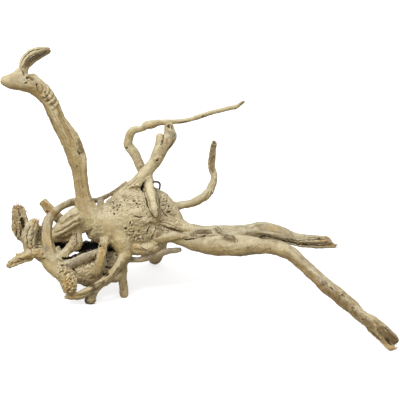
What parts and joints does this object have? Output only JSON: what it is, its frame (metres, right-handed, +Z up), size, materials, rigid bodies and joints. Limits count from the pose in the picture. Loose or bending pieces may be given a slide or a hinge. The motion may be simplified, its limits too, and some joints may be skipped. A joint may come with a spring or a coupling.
{
  "type": "aquarium driftwood root",
  "caption": "Driftwood root for an aquarium: a pitted stump with a long neck, thin branches, reaching limbs and a tangle of roots, standing on its own feet.",
  "frame": {"origin": "on the floor, under the middle of the root's bounding box", "axes": "+X to the right along the long limbs, +Y away from the viewer, +Z up"},
  "size_m": [0.3868, 0.2356, 0.2429],
  "materials": {
    "root_wood": "dry, weathered and matt"
  },
  "bodies": {
    "root": {"redmoor_root": "root_wood"}
  },
  "joints": []
}
